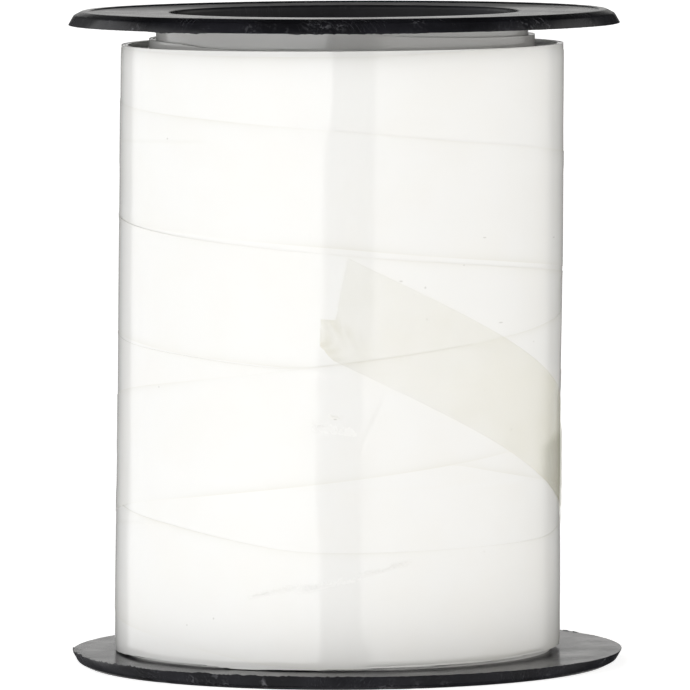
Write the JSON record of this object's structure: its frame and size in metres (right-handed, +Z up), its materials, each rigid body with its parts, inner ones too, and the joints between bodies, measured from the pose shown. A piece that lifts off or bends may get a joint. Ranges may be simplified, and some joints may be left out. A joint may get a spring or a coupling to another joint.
{
  "type": "ribbon reel",
  "caption": "Reel of glossy gift ribbon: a two-flange plastic reel with a wide hub bore, wound with ribbon whose taped end peels off.",
  "frame": {"origin": "middle of the lower rim's crest ring, on the surface that the reel stands on", "axes": "+Z up along the reel's axis and hub bore; -Y is the front, where the ribbon's end is taped down"},
  "size_m": [0.08, 0.08, 0.095],
  "materials": {
    "reel_plastic": "moulded, scuffed",
    "ribbon": "glossy lacquered film",
    "clear_tape": "clear film, slightly yellow"
  },
  "bodies": {
    "reel": {"lower_reel_half": "reel_plastic", "upper_reel_half": "reel_plastic", "ribbon_start_tape": "clear_tape", "ribbon_inner_layers": "ribbon", "ribbon_stepped_layer": "ribbon", "ribbon_main_pack": "ribbon", "ribbon_cover_turns": "ribbon"},
    "ribbon_end": {"ribbon_loose_end": "ribbon", "clear_end_tape": "clear_tape"}
  },
  "joints": [
    {"name": "ribbon_end_peel", "type": "hinge", "parent": "reel", "child": "ribbon_end", "pos_m": [-0.00399, -0.03246, 0.037], "axis": [0, 0, -1], "range_deg": [0, 50]}
  ]
}
